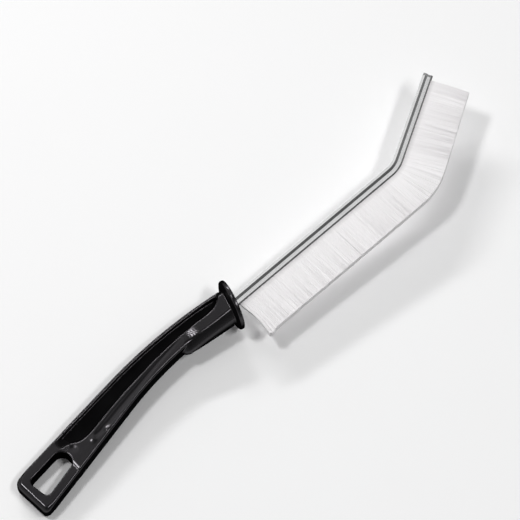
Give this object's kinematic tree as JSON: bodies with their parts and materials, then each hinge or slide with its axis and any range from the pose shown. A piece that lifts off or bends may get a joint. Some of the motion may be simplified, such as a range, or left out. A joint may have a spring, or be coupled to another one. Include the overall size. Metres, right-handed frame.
{
  "type": "crevice brush",
  "caption": "Hand-held crevice brush: moulded grip with a hanging hole and a round guard, and a bent steel strip that holds one long row of bristles.",
  "frame": {"origin": "middle of the hanging hole, on the brush's mid-plane", "axes": "+X along the straight run of the brush towards its tip, +Y from the bristle ends towards the strip's back, +Z square to the flat side of the grip"},
  "size_m": [0.2354, 0.0407, 0.0198],
  "materials": {
    "black_plastic": "moulded gloss with matte recesses",
    "strip_steel": "galvanised and rolled, bright",
    "wire_steel": "drawn wire",
    "white_bristle": "white nylon filament"
  },
  "bodies": {
    "root": {"handle": "black_plastic", "channel_strip": "strip_steel", "core_wire": "wire_steel", "bristle_tuft_01": "white_bristle", "bristle_tuft_02": "white_bristle", "bristle_tuft_03": "white_bristle", "bristle_tuft_04": "white_bristle", "bristle_tuft_05": "white_bristle", "bristle_tuft_06": "white_bristle", "bristle_tuft_07": "white_bristle", "bristle_tuft_08": "white_bristle", "bristle_tuft_09": "white_bristle", "bristle_tuft_10": "white_bristle", "bristle_tuft_11": "white_bristle", "bristle_tuft_12": "white_bristle", "bristle_tuft_13": "white_bristle", "bristle_tuft_14": "white_bristle", "bristle_tuft_15": "white_bristle", "bristle_tuft_16": "white_bristle", "bristle_tuft_17": "white_bristle", "bristle_tuft_18": "white_bristle", "bristle_tuft_19": "white_bristle", "bristle_tuft_20": "white_bristle", "bristle_tuft_21": "white_bristle", "bristle_tuft_22": "white_bristle", "bristle_tuft_23": "white_bristle", "bristle_tuft_24": "white_bristle", "bristle_tuft_25": "white_bristle", "bristle_tuft_26": "white_bristle", "bristle_tuft_27": "white_bristle", "bristle_tuft_28": "white_bristle", "bristle_tuft_29": "white_bristle", "bristle_tuft_30": "white_bristle", "bristle_tuft_31": "white_bristle", "bristle_tuft_32": "white_bristle", "bristle_tuft_33": "white_bristle", "bristle_tuft_34": "white_bristle", "bristle_tuft_35": "white_bristle", "bristle_tuft_36": "white_bristle", "bristle_tuft_37": "white_bristle", "bristle_tuft_38": "white_bristle", "bristle_tuft_39": "white_bristle", "bristle_tuft_40": "white_bristle"}
  },
  "joints": []
}
